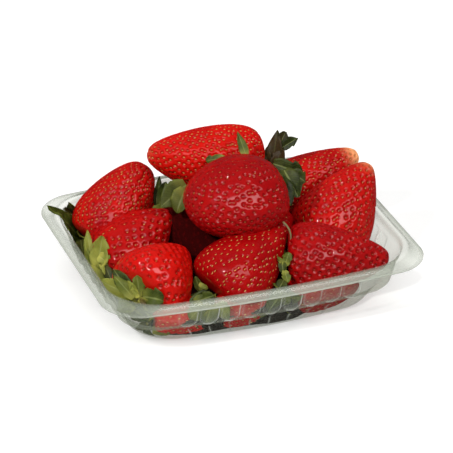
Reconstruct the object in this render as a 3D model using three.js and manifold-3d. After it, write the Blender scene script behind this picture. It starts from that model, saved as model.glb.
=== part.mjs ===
// Punnet of strawberries: a shallow clear plastic tray with an open top, heaped with whole strawberries.
// Millimetres, +Z up. The origin is the middle of the tray's floor, on the surface the tray stands on.
// +X runs along the tray's long side, +Y across it towards the back.
import * as THREE from 'three';
import Module from 'manifold-3d';
import { mergeVertices } from 'three/addons/utils/BufferGeometryUtils.js';

// ---- Tray ----
const TRAY_LENGTH = 160;      // over the rim flange
const TRAY_WIDTH = 126.5;     // over the rim flange, at the corners
const SIDE_BOW = 4.8;         // how far each long side bulges outwards at its middle
const WALL = 0.6;             // thickness of the plastic

const FLANGE_Z = 26.8;        // underside of the flat flange
const BEAD_Z = 29.6;          // crown of the raised bead inside the flange
const LEDGE_Z = 11.3;         // the step half way up the wall
const CORNERS = 6;            // faces in each rounded corner
const PLAIN_CORNERS = 4;      // and in the corners of the plain shapes inside the tray
const PLAIN_PITCH = 22;       // distance between the points along their long sides

const FLUTE_PITCH = 10.2;     // flutes stand side by side along the walls
const FLUTE_DEPTH = 1.3;      // how far a flute bulges outwards
const LONG_FLUTES = 9;
const SHORT_FLUTES = 5;
const ROW_MARGIN = 0.5;       // a row of flutes closes up to stay this far from the rounded corners
const FLUTE_FOOT = 0.44;      // half width of a flute at the wall, as a share of the pitch
const FLUTE_CROWN = 0.24;     // half width of a flute at its outer face

// Outer skin from the flange's edge down to the floor:
// how far the loop is inset from the flange's edge, its height, its corner radius and its flute depth.
const OUTER_LOOPS = [
  { inset: 0, z: FLANGE_Z, radius: 18, flute: 0 },
  { inset: 3.4, z: FLANGE_Z, radius: 22, flute: 0 },
  { inset: 4.4, z: BEAD_Z - WALL, radius: 24, flute: 0 },
  { inset: 6.0, z: BEAD_Z - WALL, radius: 24, flute: 0 },
  { inset: 7.2, z: BEAD_Z - 4.5, radius: 23, flute: 0 },
  { inset: 8.4, z: BEAD_Z - 7.0, radius: 22, flute: FLUTE_DEPTH },
  { inset: 12.2, z: LEDGE_Z, radius: 16, flute: FLUTE_DEPTH },
  { inset: 15.8, z: LEDGE_Z - 0.5, radius: 17, flute: FLUTE_DEPTH * 0.8 },
  { inset: 20.0, z: 1.2, radius: 19, flute: FLUTE_DEPTH * 0.6 },
  { inset: 21.8, z: 0, radius: 18, flute: 0 },
];

// ---- Strawberries ----
const CLEARANCE = 0.35;       // gap between the fruit and the tray
const OPENING_INSET = 6;      // loops further in than this bound the fruit's room
const ROOM_SHOULDER_Z = BEAD_Z + CLEARANCE + 0.3;
const ROOM_OVERHANG = 12;     // fruit above the bead may reach this far past the flange
const ROOM_TOP_Z = 90;
const WELD = 0.001;           // points this close together are one
const BERRY_SIDES = 12;       // flat sides around a berry
const BERRY_RINGS = 8;        // bands from its stem end to its tip
const SEPAL_THICKNESS = 0.9;
const SEPAL_STATIONS = 3;     // cross-sections along a sepal
const SEPAL_CURL = 60;        // degrees a sepal bends from its root to its point
const SEPAL_STRAIGHT = 0.4;   // where along it a sepal is as open as its berry's table says
const SEPAL_WAVE = 0.9;       // how far a sepal's edges wave
const SEPAL_WAVES = 3;        // half waves along an edge
const SEPAL_UNEVEN = 0.18;    // how much longer or shorter one sepal is than the next, as a share
const SEPAL_LENGTH_STEP = 5;  // sets how the lengths change from sepal to sepal
const SEPAL_CURL_STEP = 2.1;  // and how the curls do
const SEPAL_NECK = 0.18;      // where on a half wave a sepal's outline starts, as a share of it
const SEPAL_OUTLINE = 0.74;   // how much of the half wave its outline takes
const SEPAL_EDGE = 0.4;       // half width of a sepal at its very point
const SEPAL_ROOT = 0.86;      // where sepals leave the berry, as a share of its half length
const SHOULDER = 0.22;        // how much fuller a berry is at its stem end than at its tip
const LOBE = 0.03;            // unevenness, as a share of the thickness
const STEM_DIMPLE = 0.93;     // the middle of the stem end, as a share of the half length

// Each berry: the middle of its axis, its length, its two thicknesses, how much wider it is at the stem
// end (taper), its bluntness (below 1 it is blunter than an egg), and the compass heading and upward
// tilt of the way its tip points, in degrees.
// leaves: how many sepals show, their length and width, how far they open from the axis (degrees),
// and where around the stem the first one grows (turn) and how wide a fan they make (spread).
const BERRIES = [
  { at: [0.1, 37.7, 48.3], length: 58.6, wide: 31.9, deep: 38.3, taper: 0.47, blunt: 0.62, heading: 179, tilt: 16,
    leaves: { count: 5, length: 15, width: 9, open: 62, turn: 75, spread: 360 } },
  { at: [1.6, -2.1, 46.6], length: 49.3, wide: 49, deep: 37.3, taper: 0.08, blunt: 0.92, heading: -171, tilt: 0,
    leaves: { count: 6, length: 16, width: 11, open: 80, turn: -20, spread: 360 } },
  { at: [-41.8, 42.4, 29.2], length: 46.1, wide: 34.8, deep: 34.2, taper: 0.33, blunt: 0.62, heading: 25, tilt: 39,
    leaves: { count: 5, length: 15, width: 9, open: 70, turn: 20, spread: 360 } },
  { at: [-41.1, 17.6, 21.7], length: 41.9, wide: 43, deep: 33.4, taper: 0.55, blunt: 0.77, heading: 4, tilt: 33,
    leaves: { count: 6, length: 16, width: 8, open: 72, turn: 30, spread: 360 } },
  { at: [-40.7, -17.6, 21.3], length: 37.8, wide: 39.1, deep: 38.2, taper: 0.52, blunt: 0.74, heading: 35, tilt: 14,
    leaves: { count: 7, length: 16, width: 9, open: 80, turn: 15, spread: 360 } },
  { at: [0.6, -24.8, 23.6], length: 48.8, wide: 40.8, deep: 38.2, taper: 0.6, blunt: 0.78, heading: 18, tilt: 29,
    leaves: { count: 5, length: 15, width: 9, open: 75, turn: 50, spread: 360 } },
  { at: [42.8, -31.2, 21.2], length: 49.9, wide: 37.9, deep: 34.4, taper: 0.5, blunt: 0.68, heading: -21, tilt: 1,
    leaves: { count: 5, length: 15, width: 8, open: 72, turn: 20, spread: 360 } },
  { at: [59.0, 1.8, 30.3], length: 48.2, wide: 42.3, deep: 36.4, taper: 0.52, blunt: 0.79, heading: 18, tilt: 47 },
  { at: [51.6, 32.1, 31.4], length: 57.7, wide: 28.4, deep: 26.7, taper: 0.35, blunt: 0.7, heading: -2, tilt: 20 },
  { at: [-9, 14, 19], length: 48, wide: 34, deep: 34, taper: 0.2, blunt: 0.85, heading: -70, tilt: -22,
    leaves: { count: 5, length: 17, width: 10, open: 60, turn: 47, spread: 360 } },
  { at: [17.0, 6.0, 19.5], length: 36, wide: 31, deep: 29, taper: 0.2, blunt: 0.85, heading: 150, tilt: 0 },
  { at: [-8.3, 41.2, 18.6], length: 44, wide: 30, deep: 33, taper: 0.2, blunt: 0.85, heading: 174, tilt: 0 },
  { at: [29.0, 39.0, 18.0], length: 38, wide: 29, deep: 32, taper: 0.2, blunt: 0.85, heading: -10, tilt: 0 },
  { at: [-46.0, 41.0, 12.5], length: 34, wide: 25, deep: 21, taper: 0.2, blunt: 0.85, heading: 80, tilt: 0 },
  { at: [50.0, 20.0, 13.0], length: 36, wide: 26, deep: 22, taper: 0.2, blunt: 0.85, heading: 100, tilt: 0 },
  { at: [-33.0, -36.0, 8.0], length: 40, wide: 26, deep: 15, taper: 0.2, blunt: 0.85, heading: -6, tilt: 0 },
  { at: [33.0, -38.5, 9.5], length: 38, wide: 24, deep: 16, taper: 0.2, blunt: 0.85, heading: 8, tilt: 0 },
  { at: [-7.0, -38.0, 11.5], length: 34, wide: 26, deep: 20, taper: 0.2, blunt: 0.85, heading: 10, tilt: 0 },
];

// The hidden middle of the heap is a plain core that the berries are fused to.
const CORE_LOOPS = [
  { inset: 26, z: 2.6, radius: 18 },
  { inset: 23, z: 11, radius: 20 },
  { inset: 32, z: 20.6, radius: 16 },
];
const CORE_TOP_Z = 28.4;

const COLOURS = {
  plastic: { color: 0xc9cec3, roughness: 0.08, metalness: 0 },
  berry: { color: 0xb3120e, roughness: 0.3, metalness: 0 },
};

// ---- Closed surfaces from loops of stations ----

// Triangles between equal loops, one after another, closed at both ends by a middle point.
function stackLoops(loops, startPoint, endPoint) {
  const count = loops[0].length;
  const points = [startPoint, ...loops.flat(), endPoint];
  const last = points.length - 1;
  const faces = [];
  for (let i = 0; i < count; i++) {
    const next = (i + 1) % count;
    faces.push([0, 1 + next, 1 + i]);
    for (let k = 0; k + 1 < loops.length; k++) {
      const a = 1 + k * count;
      const b = a + count;
      faces.push([a + i, a + next, b + next], [a + i, b + next, b + i]);
    }
    const rim = 1 + (loops.length - 1) * count;
    faces.push([rim + i, rim + next, last]);
  }
  return facesToGeometry(points, faces);
}

function facesToGeometry(points, faces) {
  const geometry = new THREE.BufferGeometry();
  geometry.setAttribute('position', new THREE.Float32BufferAttribute(points.flat(), 3));
  geometry.setIndex(faces.flat());
  return geometry;
}

// ---- Tray loops ----

// A station is a place around the wall: on a long or short side at a fixed distance along it,
// or at an angle round a corner. raise says whether a flute stands out there.
function wallStations(longMarks, shortMarks, corners) {
  const stations = [];
  for (let side = 0; side < 4; side++) {
    const marks = side % 2 === 0 ? longMarks : shortMarks;
    const row = Math.max(0, ...marks.map((mark) => mark.along));
    for (const mark of marks) stations.push({ side, row, ...mark });
    for (let i = 0; i <= corners; i++) stations.push({ side, corner: i / corners });
  }
  return stations;
}

// The four edges of each flute in a row of them.
function fluteMarks(count) {
  const marks = [];
  for (let i = 0; i < count; i++) {
    const middle = i - (count - 1) / 2;
    marks.push({ along: (middle - FLUTE_FOOT) * FLUTE_PITCH, raise: 0 });
    marks.push({ along: (middle - FLUTE_CROWN) * FLUTE_PITCH, raise: 1 });
    marks.push({ along: (middle + FLUTE_CROWN) * FLUTE_PITCH, raise: 1 });
    marks.push({ along: (middle + FLUTE_FOOT) * FLUTE_PITCH, raise: 0 });
  }
  return marks;
}

const FLUTED = wallStations(fluteMarks(LONG_FLUTES), fluteMarks(SHORT_FLUTES), CORNERS);
const PLAIN_MARKS = [-1.5, -0.5, 0.5, 1.5].map((step) => ({ along: step * PLAIN_PITCH, raise: 0 }));
const PLAIN = wallStations(PLAIN_MARKS, [], PLAIN_CORNERS);

// One loop of points round the tray, seen from above it runs anticlockwise from the front side.
function wallLoop(stations, { inset, z, radius, flute = 0 }) {
  const halfLength = TRAY_LENGTH / 2 - inset;
  const halfWidth = TRAY_WIDTH / 2 - inset;
  return stations.map(({ side, row, along, raise, corner }) => {
    const long = side % 2 === 0;
    const reach = long ? halfWidth : halfLength;
    const half = long ? halfLength : halfWidth;
    let a;
    let b;
    if (corner === undefined) {
      a = along * Math.min(1, (half - radius - ROW_MARGIN) / row);
      b = -reach - raise * flute;
    } else {
      const angle = (corner * Math.PI) / 2;
      a = half - radius + radius * Math.sin(angle);
      b = -(reach - radius) - radius * Math.cos(angle);
    }
    const turn = (side * Math.PI) / 2;
    const x = a * Math.cos(turn) - b * Math.sin(turn);
    const y = a * Math.sin(turn) + b * Math.cos(turn);
    const bow = SIDE_BOW * Math.cos((Math.PI * x) / (2 * halfLength)) * (y / halfWidth);
    return [x, y + bow, z];
  });
}

// The inner skin follows the outer one at the thickness of the plastic, measured square to it.
function insetProfile(loops, thickness) {
  const last = loops.length - 1;
  const square = (from, to) => {
    const run = to.inset - from.inset;
    const rise = to.z - from.z;
    const size = Math.hypot(run, rise);
    return [-rise / size, run / size];
  };
  return loops.map((loop, k) => {
    const before = k > 0 ? square(loops[k - 1], loop) : [0, 1];
    const after = k < last ? square(loop, loops[k + 1]) : [0, 1];
    const mitre = thickness / (1 + before[0] * after[0] + before[1] * after[1]);
    const inwards = (before[0] + after[0]) * mitre;
    const upwards = (before[1] + after[1]) * mitre;
    return { ...loop, inset: loop.inset + inwards, z: loop.z + upwards, radius: loop.radius - inwards };
  });
}

function trayGeometry() {
  const skin = (loops) => loops.map((loop) => wallLoop(FLUTED, loop));
  const outer = skin(OUTER_LOOPS);
  const inner = skin(insetProfile(OUTER_LOOPS, WALL));
  return stackLoops([...outer.reverse(), ...inner], [0, 0, 0], [0, 0, WALL]);
}

// The room the fruit may fill: inside the tray's inner skin and anywhere above its bead.
function roomGeometry() {
  const loops = insetProfile(OUTER_LOOPS, WALL + CLEARANCE)
    .filter((loop) => loop.inset > OPENING_INSET)
    .reverse();
  const top = loops[loops.length - 1];
  loops.push({ ...top, z: ROOM_SHOULDER_Z });
  loops.push({ ...top, inset: -ROOM_OVERHANG, z: ROOM_SHOULDER_Z, radius: top.radius });
  loops.push({ ...top, inset: -ROOM_OVERHANG, z: ROOM_TOP_Z, radius: top.radius });
  const floor = loops[0].z;
  return stackLoops(loops.map((loop) => wallLoop(PLAIN, loop)), [0, 0, floor], [0, 0, ROOM_TOP_Z]);
}

// ---- Berries ----

// The way the tip points, and the two directions across it.
function berryAxes({ heading, tilt }) {
  const turn = THREE.MathUtils.degToRad(heading);
  const rise = THREE.MathUtils.degToRad(tilt);
  const tip = new THREE.Vector3(Math.cos(turn) * Math.cos(rise), Math.sin(turn) * Math.cos(rise), Math.sin(rise));
  const across = new THREE.Vector3(-Math.sin(turn), Math.cos(turn), 0);
  const up = new THREE.Vector3().crossVectors(tip, across);
  return { tip, across, up };
}

function berryGeometry(berry, index) {
  const { tip, across, up } = berryAxes(berry);
  const middle = new THREE.Vector3(...berry.at);
  const point = (along, side, height) =>
    middle.clone().addScaledVector(tip, along).addScaledVector(across, side).addScaledVector(up, height).toArray();
  const profile = (turn) => {
    const power = berry.blunt * (1 - SHOULDER * (0.5 + 0.5 * Math.cos(turn)));
    return Math.max(Math.sin(turn), 0) ** power * (1 + berry.taper * Math.cos(turn));
  };
  const widest = Math.max(...Array.from({ length: 181 }, (_, i) => profile((i * Math.PI) / 180)));
  const loops = [];
  for (let ring = 1; ring < BERRY_RINGS; ring++) {
    const turn = (ring * Math.PI) / BERRY_RINGS;
    const radius = profile(turn) / widest;
    const loop = [];
    for (let i = 0; i < BERRY_SIDES; i++) {
      const angle = ((i + (ring % 2) / 2) * 2 * Math.PI) / BERRY_SIDES;
      // Soft lobes make each berry uneven in its own way.
      const lobe = 1 + LOBE * Math.cos(3 * angle + index) * Math.sin(turn + index);
      loop.push(point(
        (-berry.length / 2) * Math.cos(turn),
        radius * lobe * (berry.wide / 2) * Math.cos(angle),
        radius * lobe * (berry.deep / 2) * Math.sin(angle),
      ));
    }
    loops.push(loop);
  }
  const stemEnd = point((-berry.length / 2) * STEM_DIMPLE, 0, 0);
  return stackLoops(loops, stemEnd, point(berry.length / 2, 0, 0));
}

// A sepal is a thin pointed leaf that leaves the berry's stem end and curls away from it.
function sepalGeometry(berry, number) {
  const { tip, across, up } = berryAxes(berry);
  const { count, length, width, open, turn, spread } = berry.leaves;
  const around = THREE.MathUtils.degToRad(turn + (number * spread) / count);
  const outwards = across.clone().multiplyScalar(Math.cos(around)).addScaledVector(up, Math.sin(around));
  const sideways = new THREE.Vector3().crossVectors(tip, outwards);
  const root = new THREE.Vector3(...berry.at).addScaledVector(tip, (-berry.length / 2) * SEPAL_ROOT);
  const reach = length * (1 + SEPAL_UNEVEN * Math.sin(SEPAL_LENGTH_STEP * number + berry.length));
  const spine = root.clone();
  const faces = [];
  const points = [];
  for (let k = 0; k <= SEPAL_STATIONS; k++) {
    const share = k / SEPAL_STATIONS;
    const curl = SEPAL_CURL * Math.sin(SEPAL_CURL_STEP * number) * (share - SEPAL_STRAIGHT);
    const lean = THREE.MathUtils.degToRad(open + curl);
    const forwards = outwards.clone().multiplyScalar(Math.sin(lean)).addScaledVector(tip, -Math.cos(lean));
    if (k > 0) spine.addScaledVector(forwards, reach / SEPAL_STATIONS);
    const normal = new THREE.Vector3().crossVectors(forwards, sideways);
    const half = (width / 2) * Math.sin(Math.PI * (SEPAL_NECK + SEPAL_OUTLINE * share)) + SEPAL_EDGE;
    const wave = SEPAL_WAVE * Math.sin(SEPAL_WAVES * share * Math.PI + number);
    for (const face of [-0.5, 0.5]) {
      for (const edge of [-1, 0, 1]) {
        const lift = face * SEPAL_THICKNESS + wave * Math.abs(edge);
        points.push(spine.clone().addScaledVector(sideways, edge * half).addScaledVector(normal, lift).toArray());
      }
    }
  }
  const rows = 6;
  for (let k = 0; k < SEPAL_STATIONS; k++) {
    const ring = [0, 1, 2, 5, 4, 3].map((i) => k * rows + i);
    const next = ring.map((i) => i + rows);
    for (let i = 0; i < rows; i++) {
      const j = (i + 1) % rows;
      faces.push([ring[i], ring[j], next[j]], [ring[i], next[j], next[i]]);
    }
  }
  const far = SEPAL_STATIONS * rows;
  faces.push([0, 4, 1], [0, 3, 4], [1, 5, 2], [1, 4, 5]);
  faces.push([far, far + 1, far + 4], [far, far + 4, far + 3], [far + 1, far + 2, far + 5], [far + 1, far + 5, far + 4]);
  return facesToGeometry(points, faces);
}

function coreGeometry() {
  const loops = CORE_LOOPS.map((loop) => wallLoop(PLAIN, loop));
  return stackLoops(loops, [0, 0, CORE_LOOPS[0].z], [0, 0, CORE_TOP_Z]);
}

// ---- Joining the heap ----

const wasm = await Module();
wasm.setup();

function toSolid(geometry) {
  const bare = geometry.toNonIndexed();
  bare.deleteAttribute('normal');
  bare.deleteAttribute('uv');
  const merged = mergeVertices(bare, WELD);
  return new wasm.Manifold(new wasm.Mesh({
    numProp: 3,
    vertProperties: new Float32Array(merged.attributes.position.array),
    triVerts: new Uint32Array(merged.index.array),
  }));
}

function toGeometry(solid) {
  const { vertProperties, triVerts } = solid.getMesh();
  const geometry = new THREE.BufferGeometry();
  geometry.setAttribute('position', new THREE.BufferAttribute(vertProperties, 3));
  geometry.setIndex(new THREE.BufferAttribute(triVerts, 1));
  return geometry;
}

// The largest piece alone: loose scraps are dropped and sealed hollows are filled.
function largestPiece(solid) {
  return solid.decompose().reduce((best, piece) => (piece.volume() > best.volume() ? piece : best));
}

function heapGeometry() {
  let heap = toSolid(coreGeometry());
  BERRIES.forEach((berry, index) => {
    heap = heap.add(toSolid(berryGeometry(berry, index)));
    const count = berry.leaves ? berry.leaves.count : 0;
    for (let number = 0; number < count; number++) heap = heap.add(toSolid(sepalGeometry(berry, number)));
  });
  heap = largestPiece(heap.intersect(toSolid(roomGeometry())));
  // Welding points that nearly touch can close off another scrap, so it's done until nothing changes.
  for (let triangles = 0; triangles !== heap.numTri();) {
    triangles = heap.numTri();
    heap = largestPiece(toSolid(toGeometry(heap)));
  }
  return toGeometry(heap);
}

// ---- The object ----

const punnet = new THREE.Group();

function addNode(name, geometry, look) {
  geometry.computeVertexNormals();
  const mesh = new THREE.Mesh(geometry, new THREE.MeshStandardMaterial(look));
  mesh.name = name;
  punnet.add(mesh);
}

addNode('tray', trayGeometry(), COLOURS.plastic);
addNode('strawberries', heapGeometry(), COLOURS.berry);

export default punnet;
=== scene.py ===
# %% [markdown]
# # A punnet of strawberries
# A shallow clear tray is heaped with whole ripe strawberries that keep their green leaves.
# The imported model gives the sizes: the tray as a closed shell and the heap as one plain solid.
# Here the heap is replaced with single berries, each with its pits, seeds and leaves, and the tray
# with a finer shell that has rounded flutes. Everything below is worked out in millimetres, because
# that is how a punnet is measured, and is turned into metres when a mesh is made.

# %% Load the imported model
import bpy
import math
import numpy as np
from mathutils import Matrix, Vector


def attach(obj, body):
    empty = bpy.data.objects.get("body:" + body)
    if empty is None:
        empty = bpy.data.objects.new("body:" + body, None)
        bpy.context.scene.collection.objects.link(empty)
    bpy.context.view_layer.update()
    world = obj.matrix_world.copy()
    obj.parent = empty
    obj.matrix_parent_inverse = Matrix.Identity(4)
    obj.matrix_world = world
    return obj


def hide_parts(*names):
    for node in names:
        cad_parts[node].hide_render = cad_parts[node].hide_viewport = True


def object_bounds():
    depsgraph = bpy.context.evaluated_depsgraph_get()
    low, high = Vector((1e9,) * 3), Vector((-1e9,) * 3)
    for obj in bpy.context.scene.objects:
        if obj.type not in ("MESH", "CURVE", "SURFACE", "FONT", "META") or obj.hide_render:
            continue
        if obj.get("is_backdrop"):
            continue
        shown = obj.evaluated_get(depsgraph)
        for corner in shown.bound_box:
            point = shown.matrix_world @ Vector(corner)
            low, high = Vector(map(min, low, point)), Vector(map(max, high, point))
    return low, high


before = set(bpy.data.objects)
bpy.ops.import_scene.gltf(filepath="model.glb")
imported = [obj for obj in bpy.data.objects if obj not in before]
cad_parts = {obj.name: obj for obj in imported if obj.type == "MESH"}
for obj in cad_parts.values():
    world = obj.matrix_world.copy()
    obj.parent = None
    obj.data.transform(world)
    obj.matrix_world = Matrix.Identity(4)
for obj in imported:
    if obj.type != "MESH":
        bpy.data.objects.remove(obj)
low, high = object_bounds()
MM = 0.001
print("packed box, mm:", [round((b - a) / MM, 1) for a, b in zip(low, high)])

# %% [markdown]
# ## The camera
# The tray is seen from its front left, from a little above. A short lens close by would splay the
# rim's corners. A long lens from 1.4 m keeps the outline nearly free of perspective, as in a
# product picture. Light and camera are both placed by two angles round the same middle point.


# %% Camera
def direction_of(azimuth, elevation):
    """The direction of a place round the tray, by its degrees from the front and above the table."""
    a = math.radians(azimuth)
    e = math.radians(elevation)
    return Vector((math.sin(a) * math.cos(e), -math.cos(a) * math.cos(e), math.sin(e)))


def aim(thing, azimuth, elevation, distance):
    """Puts a camera or a lamp at two angles and a distance from the tray's middle, facing it."""
    back = direction_of(azimuth, elevation)
    thing.location = MIDDLE + back * distance
    thing.rotation_euler = (-back).to_track_quat("-Z", "Y").to_euler()
    bpy.context.scene.collection.objects.link(thing)


MIDDLE = Vector((-0.0017, 0, 0.0306))
LENS_MM = 232
SENSOR_MM = 36
camera = bpy.data.objects.new("camera", bpy.data.cameras.new("camera"))
camera.data.lens = LENS_MM
camera.data.sensor_width = SENSOR_MM
camera.data.clip_start = 0.05
camera.data.clip_end = 20
aim(camera, azimuth=-20, elevation=27.9, distance=1.4)
bpy.context.scene.camera = camera
print("camera at", [round(c, 3) for c in camera.location])

# %% [markdown]
# ## Writing node trees as sums
# Both the materials and the Geometry Nodes need arithmetic, and a tree that is wired one link at a
# time is hard to read. `Wire` wraps one output socket, so that `1 - wire * 2` adds the Math nodes
# by itself. `NodeMaker.node` adds any other node, with a table of what goes into its sockets, and
# its settings as words of their own.


# %% Wires
class Wire:
    """One output socket, on which sums can be written as with numbers."""

    def __init__(self, maker, socket):
        self.maker = maker
        self.socket = socket

    def __add__(self, other):
        return self.maker.math("ADD", self, other)

    def __radd__(self, other):
        return self.maker.math("ADD", other, self)

    def __sub__(self, other):
        return self.maker.math("SUBTRACT", self, other)

    def __rsub__(self, other):
        return self.maker.math("SUBTRACT", other, self)

    def __mul__(self, other):
        return self.maker.math("MULTIPLY", self, other)

    def __rmul__(self, other):
        return self.maker.math("MULTIPLY", other, self)

    def __pow__(self, other):
        return self.maker.math("POWER", self, other)


print("wires can be added, taken away, multiplied and raised to a power")


# %% Node maker
class NodeMaker:
    """Adds nodes to one tree, either a material's or Geometry Nodes'."""

    def __init__(self, tree):
        self.tree = tree

    def node(self, kind, sockets=None, output=None, **settings):
        """Adds a node and gives the wire of its first output, or of the named one."""
        made = self.tree.nodes.new(kind)
        for name, value in settings.items():
            if name == "stops":
                self.set_stops(made.color_ramp, value)
            else:
                setattr(made, name, value)
        for key, value in (sockets or {}).items():
            target = self.pick(made.inputs, key)
            if isinstance(value, Wire):
                self.tree.links.new(value.socket, target)
            else:
                target.default_value = value
        if not made.outputs:
            return None
        return Wire(self, self.pick(made.outputs, output))

    @staticmethod
    def pick(sockets, key):
        usable = [socket for socket in sockets if socket.enabled]
        if key is None:
            return usable[0]
        if isinstance(key, int):
            return usable[key]
        return next(socket for socket in usable if socket.name == key)

    @staticmethod
    def set_stops(ramp, stops):
        while len(ramp.elements) < len(stops):
            ramp.elements.new(1)
        for element, (place, colour) in zip(ramp.elements, stops):
            element.position = place
            element.color = colour

    def math(self, operation, *values):
        return self.node("ShaderNodeMath", dict(enumerate(values)), operation=operation)

    def mix(self, share, first, second):
        sockets = {"Factor": share, "A": first, "B": second}
        return self.node("ShaderNodeMix", sockets, data_type="RGBA")

    def ramp(self, value, start, end):
        """0 below start, 1 above end, smooth between them."""
        sockets = {"Value": value, "From Min": start, "From Max": end}
        return self.node("ShaderNodeMapRange", sockets, interpolation_type="SMOOTHSTEP")


def rgb(red, green, blue):
    return (red, green, blue, 1)


print("white is", rgb(1, 1, 1), "because a colour has an alpha too")


# %% Material helpers
def attribute(maker, name):
    return maker.node("ShaderNodeAttribute", output="Fac", attribute_name=name)


def noise(maker, scale, detail=3):
    place = maker.node("ShaderNodeTexCoord", output="Object")
    sockets = {"Vector": place, "Scale": scale, "Detail": detail}
    return maker.node("ShaderNodeTexNoise", sockets, output="Fac")


def colours(maker, value, stops):
    return maker.node("ShaderNodeValToRGB", {"Fac": value}, output="Color", stops=stops)


def bump(maker, height, strength, distance):
    sockets = {"Height": height, "Strength": strength, "Distance": distance}
    return maker.node("ShaderNodeBump", sockets)


def principled(maker, sockets):
    return maker.node("ShaderNodeBsdfPrincipled", sockets)


def new_material(name, make_surface):
    """A material whose surface is what make_surface builds with its maker."""
    material = bpy.data.materials.new(name)
    material.use_nodes = True
    material.node_tree.nodes.clear()
    maker = NodeMaker(material.node_tree)
    maker.node("ShaderNodeOutputMaterial", {"Surface": make_surface(maker)})
    print("finish", name, "has", len(material.node_tree.nodes), "nodes")
    return material


print("each finish is a function that builds its surface and hands it to new_material")

# %% [markdown]
# ## The berries, one by one
# One berry could be scattered with random turns, but a heap looks real only where each berry leans
# on its neighbours. So each has a row of its own, with the place, size and direction that it has in
# the imported solid. `size` is its length, width and thickness, `taper` how much thinner the tip is
# than the stem end, `heading` and `tilt` say where the tip points, and a small `blunt` makes both
# ends full. The looks differ too: `ripe` runs from a bright red to a dark crimson, and
# its darker values are partly painted shade on berries that lie in shadow; 2 paints a berry in deep
# shade a near-black red. `pit` is how deep the seeds lie, `spacing` how far apart they are, `seed`
# their tone from red-brown to yellow, `gloss` how wet the skin looks, and `pale` how much of the
# tip stayed unripe.

# %% Berry table
BERRY_COLUMNS = (
    "at", "size", "taper", "heading", "tilt", "blunt", "ripe", "pit", "spacing", "seed", "gloss", "pale",
)
BERRY_ROWS = [
    # the nine that show
    ((0.1, 37.7, 48.3), (58.6, 31.9, 38.3), 0.47, 179, 16, 0.62, 0.25, 0.66, 3.0, 0.58, 0.4, 0.25),
    ((1.6, -2.1, 46.6), (49.3, 49.0, 37.3), 0.08, -171, 0, 0.92, 0.80, 0.74, 3.8, 0.25, 0.9, 0.0),
    ((-41.8, 42.4, 29.2), (46.1, 34.8, 34.2), 0.33, 25, 39, 0.62, 0.50, 0.74, 2.9, 0.50, 0.55, 0.05),
    ((-41.1, 17.6, 21.7), (41.9, 43.0, 33.4), 0.55, 4, 33, 0.77, 0.60, 0.90, 4.4, 0.48, 0.7, 0.0),
    ((-40.7, -17.6, 21.3), (37.8, 39.1, 38.2), 0.52, 35, 14, 0.74, 0.27, 0.85, 4.2, 0.22, 1.0, 0.05),
    ((0.6, -24.8, 23.6), (48.8, 40.8, 38.2), 0.60, 18, 29, 0.78, 0.80, 0.55, 3.5, 0.78, 0.5, 0.0),
    ((42.8, -31.2, 21.2), (49.9, 37.9, 34.4), 0.50, -21, 1, 0.68, 0.80, 0.90, 4.1, 0.12, 0.9, 0.0),
    ((59.0, 1.8, 30.3), (48.2, 42.3, 36.4), 0.52, 18, 47, 0.79, 0.45, 0.76, 3.6, 0.45, 0.8, 0.6),
    ((51.6, 32.1, 31.4), (57.7, 28.4, 26.7), 0.35, -2, 20, 0.70, 0.55, 0.66, 3.1, 0.55, 0.5, 1.25),
    # the one in deep shade in the middle, painted a near-black red, then the eight low ones
    ((-9.0, 14.0, 19.0), (48, 34, 34), 0.2, -70, -22, 0.85, 2.00, 0.50, 3.5, 0.0, -0.05, 0.0),
    ((17.0, 6.0, 19.5), (36, 31, 29), 0.2, 150, 0, 0.85, 0.80, 0.60, 3.5, 0.40, 0.4, 0.0),
    ((-8.3, 41.2, 18.6), (44, 30, 33), 0.2, 174, 0, 0.85, 0.35, 0.60, 3.5, 0.60, 0.4, 0.2),
    ((29.0, 39.0, 18.0), (38, 29, 32), 0.2, -10, 0, 0.85, 0.50, 0.65, 3.6, 0.50, 0.4, 0.1),
    ((-46.0, 41.0, 12.5), (34, 25, 21), 0.2, 80, 0, 0.85, 0.40, 0.60, 3.5, 0.55, 0.4, 0.2),
    ((50.0, 20.0, 13.0), (36, 26, 22), 0.2, 100, 0, 0.85, 0.50, 0.60, 3.5, 0.55, 0.4, 0.3),
    ((-33.0, -36.0, 8.0), (40, 26, 15), 0.2, -6, 0, 0.85, 0.25, 0.55, 3.4, 0.80, 0.3, 0.1),
    ((33.0, -38.5, 9.5), (38, 24, 16), 0.2, 8, 0, 0.85, 0.95, 0.65, 3.6, 0.50, 0.3, 0.1),
    ((-7.0, -39.5, 8.9), (34, 23, 15), 0.2, 10, 0, 0.85, 0.55, 0.50, 3.5, 0.75, 0.3, 0.2),
]
STRAWBERRIES = [dict(zip(BERRY_COLUMNS, row)) for row in BERRY_ROWS]
SHOWN = 9
IN_SHADE = 2
lengths = [berry["size"][0] for berry in STRAWBERRIES]
print(len(lengths), "berries,", min(lengths), "to", max(lengths), "mm long")

# %% [markdown]
# ## The tray's shape in numbers
# The wall is a stack of rounded-rectangle loops. Each has an inset from the rim's edge, a height and
# a corner radius, and the long sides bow outwards a little. The same numbers say where the inside
# of the tray is, so that the fruit can be pressed flat where it leans on the plastic.

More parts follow.
